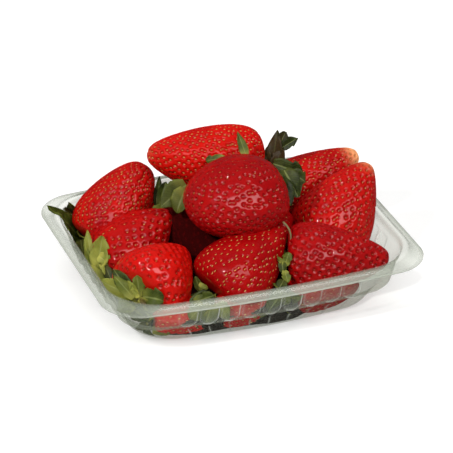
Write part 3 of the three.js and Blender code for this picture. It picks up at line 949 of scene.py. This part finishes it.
def leaf_sheet(root, stalkwards, point, width, bow, teeth, phase):
    """Rows of points along a leaf from its root to its point, and the upper side's directions."""
    reach = point - root
    length = np.linalg.norm(reach)
    outwards = unit(reach - (reach @ stalkwards) * stalkwards)
    start = root + outwards * LEAF_START
    first = start + outwards * length * 0.30 + stalkwards * (bow * 0.9)
    second = start + reach * 0.72 + stalkwards * bow
    t = np.linspace(0, 1, LEAF_STATIONS)[:, None]
    spine = (1 - t) ** 3 * start + 3 * t * (1 - t) ** 2 * first + 3 * t**2 * (1 - t) * second + t**3 * point
    forwards = unit_rows(np.gradient(spine, axis=0))
    sideways = unit_rows(np.cross(forwards, stalkwards + outwards * 0.2))
    face = np.cross(sideways, forwards)
    s = t[:, 0]
    half = half_widths(s, width, teeth, phase)
    twist = 0.35 * np.sin(2.2 * s + phase)
    curl = 0.14 * length * math.sin(1.3 * phase) * s**3
    fold = 0.24 + 0.14 * math.sin(0.7 * phase)
    rows = []
    for column in np.linspace(-1, 1, LEAF_COLUMNS):
        lift = curl + half * (fold * abs(column) + 0.12 * column * column * np.sin(6 * s + phase))
        lift = lift + 0.5 * np.sin(9 * s + phase + 2 * column) * abs(column) ** 1.5
        lift = lift + half * column * twist
        rows.append(spine + sideways * (column * half)[:, None] + face * lift[:, None])
    return np.stack(rows, 1), face


print("a leaf sheet has", LEAF_STATIONS, "by", LEAF_COLUMNS, "points")

# %% Leaf solids
LEAF_THICKNESS = 0.34
THIN_POINT = 0.35


def leaf_solid(sheet, face):
    """A closed thin leaf from its sheet: points and faces, the upper side first."""
    stations, columns = sheet.shape[:2]
    thin = np.linspace(1, THIN_POINT, stations)[:, None, None] * LEAF_THICKNESS / 2
    upper = sheet + face[:, None, :] * thin
    lower = sheet - face[:, None, :] * thin
    points = np.concatenate([upper.reshape(-1, 3), lower.reshape(-1, 3)])
    count = stations * columns
    faces = []
    for i in range(stations - 1):
        for j in range(columns - 1):
            a = i * columns + j
            quad = (a, a + 1, a + 1 + columns, a + columns)
            faces.append(quad)
            faces.append(tuple(count + v for v in reversed(quad)))
    edge = list(range(columns))
    edge += [i * columns + columns - 1 for i in range(1, stations)]
    edge += [(stations - 1) * columns + j for j in range(columns - 2, -1, -1)]
    edge += [i * columns for i in range(stations - 2, 0, -1)]
    for a, b in zip(edge, edge[1:] + edge[:1]):
        faces.append((b, a, count + a, count + b))
    return points, faces


def join_solids(solids):
    """The points and faces of several solids as those of one mesh."""
    points = []
    faces = []
    start = 0
    for solid, quads in solids:
        points.append(solid)
        faces += [tuple(start + v for v in quad) for quad in quads]
        start += len(solid)
    return np.concatenate(points), faces


print("a leaf is", LEAF_THICKNESS, "mm thick at its root")

# %% Every leaf
CAP_DEPTH = 0.93
HIDDEN_LENGTH = 12
HIDDEN_LEAN = 72
HIDDEN_WIDTH = 8.5
HIDDEN_BOW = 2.5
HIDDEN_TONE = 0.4
WAVE_SHIFT = 1.7
LEAF_GAP = FRUIT_GAP + 0.2


def cap_middle(number):
    berry = STRAWBERRIES[number]
    tip = berry_axes(berry)[0]
    return np.array(berry["at"]) - tip * (berry["size"][0] / 2 * CAP_DEPTH), -tip


def cap_leaves(number):
    """One berry's leaves that hardly show: start, facing, point, width, bow, tone, dryness, teeth."""
    tip, across, up = berry_axes(STRAWBERRIES[number])
    root, stalkwards = cap_middle(number)
    made = []
    for k, degrees in enumerate(SCATTERED_CAPS[number]):
        angle = math.radians(degrees)
        length = HIDDEN_LENGTH + 2.5 * math.sin(5 * k + number)
        lean = math.radians(HIDDEN_LEAN + 22 * math.sin(2.1 * k + number))
        outwards = across * math.cos(angle) + up * math.sin(angle)
        point = root + (outwards * math.sin(lean) - tip * math.cos(lean)) * length
        tone = HIDDEN_TONE + 0.25 * math.sin(3 * k + number)
        made.append((root, stalkwards, point, HIDDEN_WIDTH, HIDDEN_BOW, tone, 0.0, 0))
    return made


def all_leaves():
    made = [leaf for number in SCATTERED_CAPS for leaf in cap_leaves(number)]
    for root, point, *rest in PLACED_LEAVES:
        made.append((np.array(root), unit(np.array(PLACED_FACE)), np.array(point), *rest))
    return made


def build_leaves():
    solids = []
    tones = []
    dryness = []
    for k, (root, stalkwards, point, width, bow, tone, dry, teeth) in enumerate(all_leaves()):
        sheet, face = leaf_sheet(root, stalkwards, point, width, bow, teeth, k * WAVE_SHIFT)
        sheet = press_inside(sheet.reshape(-1, 3), LEAF_GAP).reshape(sheet.shape)
        solids.append(leaf_solid(sheet, face))
        tones.append(tone)
        dryness.append(dry)
    points, faces = join_solids(solids)
    count = LEAF_STATIONS * LEAF_COLUMNS
    under = np.repeat([0.0, 1.0], count)
    across = np.tile(np.linspace(-1, 1, LEAF_COLUMNS), 2 * LEAF_STATIONS)
    along = np.tile(np.repeat(np.linspace(0, 1, LEAF_STATIONS), LEAF_COLUMNS), 2)
    values = {"tone": np.repeat(tones, 2 * count), "dry": np.repeat(dryness, 2 * count)}
    for key, pattern in (("under", under), ("across", across), ("along", along)):
        values[key] = np.tile(pattern, len(solids))
    return new_piece("cap_leaves", points, faces, values)


leaves = build_leaves()
print(triangles_of(leaves), "triangles in the leaves")

# %% [markdown]
# ## The leaf's finish
# The upper side is a matt green, the underside is paler and yellower. Thin pale veins run from the
# midrib to the edges, and the roots of the leaves are yellow-green. Dry leaves turn brown. The
# veins could be modelled, but they are too fine to change the outline, so the material draws them
# from two numbers that each point keeps: how far along the leaf it is, and how far across.

# %% Leaf material
GREENS = [
    (0.0, rgb(0.013, 0.019, 0.003)),
    (0.3, rgb(0.058, 0.078, 0.010)),
    (0.6, rgb(0.128, 0.143, 0.017)),
    (1.0, rgb(0.245, 0.250, 0.040)),
]
VEIN_GREEN = rgb(0.32, 0.36, 0.12)
ROOT_YELLOW = rgb(0.44, 0.42, 0.08)
DRY_DARK = rgb(0.010, 0.006, 0.002)
DRY_LIGHT = rgb(0.062, 0.030, 0.008)
VEINS = 42


def leaf_surface(maker):
    tone = attribute(maker, "tone")
    under = attribute(maker, "under")
    along = attribute(maker, "along")
    side = maker.math("ABSOLUTE", attribute(maker, "across"))
    blotches = noise(maker, 260)
    fine = noise(maker, 1400, 2)
    green = colours(maker, tone + (blotches - 0.5) * 0.7 + under * 0.12, GREENS)
    midrib = 1 - maker.ramp(side, 0.03, 0.14)
    stripes = maker.math("ABSOLUTE", maker.math("SINE", (along - side * 0.22) * VEINS))
    veins = (1 - maker.ramp(stripes, 0.0, 0.22)) * 0.45
    lines = maker.math("MAXIMUM", midrib, veins)
    veined = maker.mix(lines * 0.35, green, VEIN_GREEN)
    rooted = maker.mix((1 - maker.ramp(along, 0.0, 0.42)) * tone, veined, ROOT_YELLOW)
    specks = maker.ramp(fine + side * 0.25 + along * 0.15, 0.92, 1.05) * 0.7
    worn = maker.math("MAXIMUM", attribute(maker, "dry"), specks)
    return principled(maker, {
        "Base Color": maker.mix(worn, rooted, maker.mix(blotches, DRY_DARK, DRY_LIGHT)),
        "Roughness": 0.46 + under * 0.14,
        "Specular IOR Level": 0.18,
        "Normal": bump(maker, lines * -0.5 + fine * 0.4, strength=0.5, distance=0.0004),
        "Subsurface Weight": 0.08,
        "Subsurface Radius": (0.6, 1.0, 0.2),
        "Subsurface Scale": 0.001,
    })


leaves.data.materials.append(new_material("green_leaf", leaf_surface))

# %% [markdown]
# ## Stalk ends
# Most berries were picked with a stub of stalk in the middle of the cap, and one dry brown stalk
# lies between the berries. A bevelled curve would do, but a tube of rings along a bent line can
# also be pressed inside the tray, as the berries are.

# %% Stalks
STALK_SIDES = 8
STUB_LENGTH = 3.6
STUB_RADII = (1.5, 1.0)
STUB_RINGS = 6
DRY_STALK = ((18.5, -22.9, 40.7), (22.6, -28.5, 37.5), (18.6, -29.5, 29.0))
DRY_RADII = (0.5, 0.35)
DRY_RINGS = 16


def tube(path, radii):
    """A closed tube along a path: points and faces."""
    path = np.array(path, float)
    forwards = np.gradient(path, axis=0)
    points = [path[0]]
    side = unit(np.cross(forwards[0], [0.3, 0.5, 0.8]))
    for middle, direction, radius in zip(path, forwards, radii):
        direction = unit(direction)
        side = unit(side - (side @ direction) * direction)
        other = np.cross(direction, side)
        for i in range(STALK_SIDES):
            angle = 2 * np.pi * i / STALK_SIDES
            points.append(middle + radius * (side * math.cos(angle) + other * math.sin(angle)))
    points.append(path[-1])
    return np.array(points), stack_faces(len(path), STALK_SIDES)


def curve_points(a, b, c, steps):
    t = np.linspace(0, 1, steps)[:, None]
    a, b, c = np.array((a, b, c), float)
    return (1 - t) ** 2 * a + 2 * t * (1 - t) * b + t**2 * c


def build_stalks():
    solids = []
    dryness = []
    for number in range(len(STRAWBERRIES)):
        root, stalkwards = cap_middle(number)
        bend = np.array([0.6 * math.sin(number), 0.6 * math.cos(number), 0.8])
        end = root + stalkwards * STUB_LENGTH + bend
        path = curve_points(root - stalkwards * 2, root + stalkwards * 1.5, end, STUB_RINGS)
        solids.append(tube(press_inside(path), np.linspace(*STUB_RADII, STUB_RINGS)))
        dryness.append(0.35 + 0.4 * (number % 2))
    solids.append(tube(curve_points(*DRY_STALK, DRY_RINGS), np.linspace(*DRY_RADII, DRY_RINGS)))
    dryness.append(0.9)
    points, faces = join_solids(solids)
    dry = np.repeat(dryness, [len(solid) for solid, quads in solids])
    return new_piece("stalk_ends", points, faces, {"dry": dry})


stalks = build_stalks()
print(triangles_of(stalks), "triangles in the stalks")


# %% Stalk material
def stalk_surface(maker):
    streaks = noise(maker, 500)
    green = maker.mix(streaks, rgb(0.20, 0.22, 0.04), rgb(0.36, 0.36, 0.10))
    brown = maker.mix(streaks, rgb(0.05, 0.03, 0.012), rgb(0.20, 0.15, 0.06))
    return principled(maker, {
        "Base Color": maker.mix(attribute(maker, "dry"), green, brown),
        "Roughness": 0.6,
        "Normal": bump(maker, streaks, strength=0.5, distance=0.0003),
    })


stalks.data.materials.append(new_material("stalk", stalk_surface))

# %% [markdown]
# ## The dark middle
# Between the berries there are deep gaps, and one would look through them to the table. More
# berries could fill the middle of the heap, but nobody would see them. A low rounded box, made
# uneven, pressed inside the tray and coloured near-black as painted shade, ends the gaps just as well.

# %% Core
CORE_HALF = (49, 55, 7.6)
CORE_MIDDLE = (-11, 0, 8.4)
CORE_GAP = 1.3
CORE_RINGS = 40
CORE_SIDES = 90
CORE_BOXINESS = 0.7


def boxed(wave):
    """A sine or cosine with fuller sides, which turns a round outline into a boxy one."""
    return np.sign(wave) * np.abs(wave) ** CORE_BOXINESS


def build_core():
    turn, angle = skin_grid(CORE_RINGS, CORE_SIDES)
    lumps = 1 + 0.05 * np.sin(5 * angle + 1) * np.sin(3 * turn)
    lumps = lumps + 0.03 * np.sin(9 * angle) * np.sin(5 * turn + 1)
    lean = np.where(turn < np.pi / 2, 1.2, 0.2)
    points = np.stack([
        np.sin(turn) ** lean * boxed(np.cos(angle)) * lumps * CORE_HALF[0],
        np.sin(turn) ** lean * boxed(np.sin(angle)) * lumps * CORE_HALF[1],
        np.cos(turn) * lumps * CORE_HALF[2],
    ], 1) + np.array(CORE_MIDDLE)
    faces = [tuple(reversed(face)) for face in stack_faces(CORE_RINGS, CORE_SIDES)]
    return new_piece("heap_core", press_inside(points, CORE_GAP), faces)


# painted shade: the core is a near-black, matt surface standing in for the shade in the gaps
def core_surface(maker):
    shade = noise(maker, 220)
    return principled(maker, {
        "Base Color": maker.mix(shade, rgb(0.003, 0.001, 0.001), rgb(0.012, 0.004, 0.003)),
        "Roughness": 0.95,
        "Normal": bump(maker, shade, strength=0.8, distance=0.002),
        "Specular IOR Level": 0.0,
    })


core = build_core()
core.data.materials.append(new_material("deep_fruit", core_surface))
print("the core's box:", [round(v / MM) for v in core.dimensions], "mm")

# %% [markdown]
# ## The tray
# The tray is formed from a thin clear sheet. Upright half-round flutes stiffen the upper wall and
# end in rounded toes on the ledge, and narrower ribs go on below it. A lofted solid with flutes cut
# into it would need many boolean steps. Here every loop of the wall is one row of points that
# already stands out at the flutes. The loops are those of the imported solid, with many more between
# them, so that flutes and corners are round.

# %% Tray profile
SHEET = 0.4
ROW_STEP = 0.75
FLUTE_PITCH = 10.2
FLUTE_SHARE = 0.88
FLUTE_DEPTH = 1.3
FLUTE_TOP_Z = 24.0
FLUTE_FADE = 2.2
TOE_Z = LEDGE_Z + 1.0
TOE_RADIUS = 3.6
TOE_STEEPNESS = 3.0
RIB_DEPTH = FLUTE_DEPTH * 0.55
RIB_SHARE = 0.62


def profile_rows():
    """Many rows down the wall: inset, height and corner radius, with soft bends."""
    rows = np.array(WALL_LOOPS, float)
    fine = []
    for first, second in zip(rows, rows[1:]):
        steps = max(2, int(round(np.hypot(*(second - first)[:2]) / ROW_STEP)))
        fine += [first + (second - first) * i / steps for i in range(steps)]
    fine = np.array([*fine, rows[-1]])
    for _ in range(2):
        fine[1:-1] = fine[1:-1] * 0.5 + (fine[:-2] + fine[2:]) * 0.25
    return fine


def toe_half_width(z):
    """Half a flute's width at a height, as a share: 1 above its toe, rounding to 0 at the toe's end."""
    return np.sqrt(1 - (1 - rise(z, TOE_Z, TOE_RADIUS)) ** 2)


def flute_height(share, z):
    """How far the wall stands out at a height, at a place from -1 to 1 across a flute."""
    bulge = np.sqrt(np.clip(1 - share**2, 0, 1))
    top = rise(z, FLUTE_TOP_Z, -FLUTE_FADE)
    toe = np.clip((toe_half_width(z) - np.abs(share)) * TOE_STEEPNESS, 0, 1)
    upper = FLUTE_DEPTH * bulge * top * toe * (z > TOE_Z)
    rib_ends = rise(z, 1.0, 2.0) * rise(z, LEDGE_Z - 1.0, -1.5)
    lower = RIB_DEPTH * np.clip(1 - (share / RIB_SHARE) ** 2, 0, 1) * rib_ends
    return upper + lower


print("flutes stand", FLUTE_PITCH, "mm apart and", FLUTE_DEPTH, "mm out")

# %% Tray fold highlights
FOLD_AT = 0.97
FOLD_WIDTH = 0.07
RIB_FOLD_AT = 0.30
RIB_HIGHLIGHT = 0.8
TOE_HIGHLIGHT = 0.9
CUP_SHEEN = 0.28


def fold_highlight(share, z):
    """A painted highlight: about 1 along the tight folds at the sides and toe of a flute, brighter on one
    side, on one side of each lower rib and faintly low in each flute, 0 elsewhere.
    """
    half = toe_half_width(z)
    side = ridge(np.abs(share), half * FOLD_AT, FOLD_WIDTH)
    side = side * (0.7 + 0.3 * np.sign(share)) * rise(z, FLUTE_TOP_Z, -FLUTE_FADE) * (z > TOE_Z)
    rib = RIB_HIGHLIGHT * ridge(share, RIB_FOLD_AT, FOLD_WIDTH) * rise(z, 2.0, 1.5) * rise(z, 8.5, -1.5)
    toe = TOE_HIGHLIGHT * ridge(z - TOE_Z, 0.5, 0.5) * (np.abs(share) < 0.6)
    cup = CUP_SHEEN * np.clip((half - np.abs(share)) * 6, 0, 1) * rise(z, 19, -6) * (z > TOE_Z)
    return side + rib + toe + cup


print("a fold half way down a flute:", round(float(fold_highlight(FOLD_AT, 18.0)), 2))

# %% Tray loops with flutes
LONG_FLUTES = 9
SHORT_FLUTES = 5
FLUTE_STEPS = 20
CORNER_STEPS = 18
ROW_MARGIN = 0.5
NO_FLUTE = 9.0


def row_marks(count):
    """Places along a straight side: how far along, and where in a flute, beyond 1 between flutes."""
    marks = []
    for i in range(count):
        middle = (i - (count - 1) / 2) * FLUTE_PITCH
        for j in range(FLUTE_STEPS):
            share = (j + 0.5) / FLUTE_STEPS * 2 - 1
            marks.append((middle + share * FLUTE_PITCH / 2, share / FLUTE_SHARE))
    return marks


def side_row(half, reach, radius, count, z):
    """One straight side and the corner after it: along, outwards (below 0) and place in a flute."""
    marks = row_marks(count)
    squeeze = min(1, (half - radius - ROW_MARGIN) / marks[-1][0])
    points = [(along * squeeze, -reach - flute_height(share, z), share) for along, share in marks]
    for i in range(CORNER_STEPS + 1):
        angle = i / CORNER_STEPS * math.pi / 2
        across = half - radius + radius * math.sin(angle)
        points.append((across, radius - reach - radius * math.cos(angle), NO_FLUTE))
    return points


def wall_row(inset, z, radius):
    """One loop of points round the tray, anticlockwise from above, from the front side on."""
    half_length = TRAY_LENGTH / 2 - inset
    half_width = TRAY_WIDTH / 2 - inset
    placed = []
    fold_highlights = []
    for side in range(4):
        turn = side * math.pi / 2
        if side % 2 == 0:
            points = side_row(half_length, half_width, radius, LONG_FLUTES, z)
        else:
            points = side_row(half_width, half_length, radius, SHORT_FLUTES, z)
        for a, b, share in points:
            x = a * math.cos(turn) - b * math.sin(turn)
            y = a * math.sin(turn) + b * math.cos(turn)
            placed.append((x, y * side_bow(x, half_length, half_width), z))
            fold_highlights.append(fold_highlight(share, z))
    return np.array(placed, float), np.array(fold_highlights, float)


print("a loop has", len(wall_row(0, FLANGE_Z, 18)[0]), "points")

# %% [markdown]
# ## How cloudy the sheet is
# Forming stretches the sheet thin low in the tray and in its corners, and leaves it thick at the
# rim. Thick, creased and edge-on places look white. Each point keeps two numbers: `haze`, how
# cloudy it is, and `fold`, a painted highlight along the folds and toes of the flutes and on the
# lower ribs, which also adds to the haze, with a little whiteness on the thick flange.

# %% Tray shell
HAZE_EVERYWHERE = 0.03
HAZE_UPPER_WALL = 0.07
HAZE_FLANGE = 0.27
HAZE_LEDGE = 0.12
HAZE_EDGE = 0.22
HAZE_CREASES = 0.24
HAZE_FOLD_HIGHLIGHTS = 0.32
HAZE_FLOOR = 0.05
CORNERS_CLEARER = 0.55
FLANGE_WHITE = 0.15


def flange_share(inset):
    """1 on the flat flange, 0 inside the bead."""
    return rise(inset, 3.8, -0.6)


def corner_share(points):
    """1 in the tray's corners, where the sheet is stretched thin, and 0 along its sides."""
    out = np.minimum(np.abs(points[:, 0]) / (TRAY_LENGTH / 2), np.abs(points[:, 1]) / (TRAY_WIDTH / 2))
    return rise(out, 0.72, 0.15)


def shell_haze(z, inset):
    """How cloudy the sheet is at a height and inset, without its corners and folds."""
    haze = HAZE_EVERYWHERE + HAZE_UPPER_WALL * rise(z, 11.5, 1.0)
    haze = haze + HAZE_FLANGE * flange_share(inset) + HAZE_LEDGE * (ridge(z, 11.1, 0.8) * (inset > 11))
    creases = ridge(inset, 3.9, 0.45) + 0.8 * ridge(inset, 6.7, 0.5)
    return haze + HAZE_EDGE * (inset < 0.9) + HAZE_CREASES * creases


def build_tray():
    rows = profile_rows()
    slope = unit_rows(np.gradient(rows[:, :2], axis=0))
    inner = rows + np.stack([-slope[:, 1], slope[:, 0], slope[:, 1]], 1) * SHEET
    stack = [*rows[::-1], *inner]
    loops, fold_highlights = zip(*[wall_row(*row) for row in stack])
    sides = len(loops[0])
    points = np.concatenate([[[0, 0, 0]], *loops, [[0, 0, SHEET]]])
    fold = np.concatenate([[0.0], *fold_highlights, [0.0]])
    fold = fold * (0.9 + 0.2 * np.sin(points[:, 0] * 0.17 + points[:, 1] * 0.23))
    insets = np.array([row[0] for row in stack])
    heights = np.array([row[1] for row in stack])
    flange = np.concatenate([[0.0], np.repeat(flange_share(insets), sides), [0.0]])
    cloudy = np.repeat(shell_haze(heights, insets), sides)
    haze = np.concatenate([[HAZE_FLOOR], cloudy, [HAZE_FLOOR]])
    haze = haze * (1 - CORNERS_CLEARER * corner_share(points))
    # painted highlight: the flute folds add to the haze and whiten the cloudy colour
    values = {"haze": haze + fold * HAZE_FOLD_HIGHLIGHTS, "fold": np.maximum(fold, flange * FLANGE_WHITE)}
    return new_piece("tray_shell", points, stack_faces(len(loops), sides), values)


tray = build_tray()
print(triangles_of(tray), "triangles in the tray, whose sheet is", SHEET, "mm thick")

# %% [markdown]
# ## Clear plastic
# A thin clear sheet hardly bends light. What is seen of it is its gleam, a slight haze, and the
# stronger whiteness where it is seen edge-on. Real glass shading would need many bounces and still
# come out noisy. So the sheet is see-through with a share of a pale glossy surface mixed in, and
# that share grows towards the edges of each curve.

# %% Plastic material
SHEET_GREY = rgb(0.40, 0.43, 0.36)
HIGHLIGHT_AND_FLANGE_WHITE = rgb(0.80, 0.82, 0.77)
CLEAR_TINT = rgb(0.935, 0.942, 0.92)
MOST_CLOUDY = 0.9


def plastic_surface(maker):
    edge = maker.node("ShaderNodeLayerWeight", {"Blend": 0.5}, output="Facing")
    smears = noise(maker, 60)
    share = attribute(maker, "haze") * (0.9 + smears * 0.2) + (edge**4) * 0.3
    cloudy = principled(maker, {
        # painted highlight: along the flute folds the cloudy colour turns white
        "Base Color": maker.mix(attribute(maker, "fold"), SHEET_GREY, HIGHLIGHT_AND_FLANGE_WHITE),
        "Roughness": 0.15 + smears * 0.05,
        "IOR": 1.6,
        "Specular IOR Level": 0.6,
    })
    clear = maker.node("ShaderNodeBsdfTransparent", {"Color": CLEAR_TINT})
    share = maker.math("MINIMUM", share, MOST_CLOUDY)
    return maker.node("ShaderNodeMixShader", {0: share, 1: clear, 2: cloudy})


CLEAR_PLASTIC = new_material("clear_plastic", plastic_surface)
tray.data.materials.append(CLEAR_PLASTIC)

# %% [markdown]
# ## Table and light
# A pale table fills the picture. A large soft box in front makes the broad gleam on the berries, and
# a small bright one on the left the sharp sparks on their pits. Two more soft boxes, above and
# behind, only fill the shadows: with gleams of their own they would veil the reds. For the same
# reason the table stays out of the reflections. It gives off a little light itself, so that it
# doesn't look grey through the clear plastic.

# %% Floor
FLOOR_SIZE = 3.0
FLOOR_DROP = 0.0004


def table_surface(maker):
    tint = maker.mix(noise(maker, 3), rgb(0.62, 0.62, 0.61), rgb(0.65, 0.65, 0.65))
    return principled(maker, {
        "Base Color": tint, "Roughness": 0.9, "Emission Color": tint, "Emission Strength": 0.66,
    })


def build_floor():
    half = FLOOR_SIZE / 2
    corners = [(-half, -half), (half, -half), (half, half), (-half, half)]
    mesh = bpy.data.meshes.new("pale_table")
    mesh.from_pydata([(x, y, -FLOOR_DROP) for x, y in corners], [], [(0, 1, 2, 3)])
    table = bpy.data.objects.new("pale_table", mesh)
    bpy.context.scene.collection.objects.link(table)
    table.data.materials.append(new_material("pale_table", table_surface))
    table.visible_glossy = False
    table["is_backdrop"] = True


build_floor()
print("the table is", FLOOR_SIZE, "m wide")

# %% Lights
# Each soft box: its angles from the front and above the table, distance, width and height in
# metres, watts, and whether it gleams.
SOFT_BOXES = {
    "soft_box_front": (6, 46, 1.3, 1.35, 0.6, 12.0, True),
    "soft_box_above": (130, 66, 1.3, 1.2, 1.2, 7, False),
    "soft_box_left": (-58, 42, 1.2, 0.08, 0.08, 8.5, True),
    "soft_box_back": (-150, 50, 1.5, 0.9, 0.9, 4, False),
}
WORLD_STRENGTH = 0.08
for name, (azimuth, elevation, distance, wide, high, watts, gleams) in SOFT_BOXES.items():
    lamp = bpy.data.lights.new(name, "AREA")
    lamp.shape = "RECTANGLE"
    lamp.size = wide
    lamp.size_y = high
    lamp.energy = watts
    holder = bpy.data.objects.new(name, lamp)
    holder.visible_glossy = gleams
    aim(holder, azimuth, elevation, distance)
world = bpy.data.worlds.new("studio")
world.use_nodes = True
world.node_tree.nodes["Background"].inputs["Color"].default_value = rgb(1, 1, 1)
world.node_tree.nodes["Background"].inputs["Strength"].default_value = WORLD_STRENGTH
bpy.context.scene.world = world
bpy.context.scene.view_settings.view_transform = "Standard"
print("lights:", list(SOFT_BOXES))

# %% [markdown]
# ## Hand the pieces over
# The real berries, seeds, leaves and core stand for the heap's solid, and the fine shell for the
# tray's. Everything is on one body, because nothing on a punnet moves.

# %% Finish
heap_pieces = [*berries, seeds_top, seeds_low, leaves, stalks, core]
for piece in heap_pieces:
    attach(piece, "root")
    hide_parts("strawberries")
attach(tray, "root")
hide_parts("tray")
for name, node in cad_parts.items():
    node.data.materials.clear()
    node.data.materials.append(BERRY_SKIN if name == "strawberries" else CLEAR_PLASTIC)
low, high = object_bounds()
print("visual box, mm:", [round((b - a) / MM, 1) for a, b in zip(low, high)])
print(sum(triangles_of(piece) for piece in [*heap_pieces, tray]), "triangles in all")
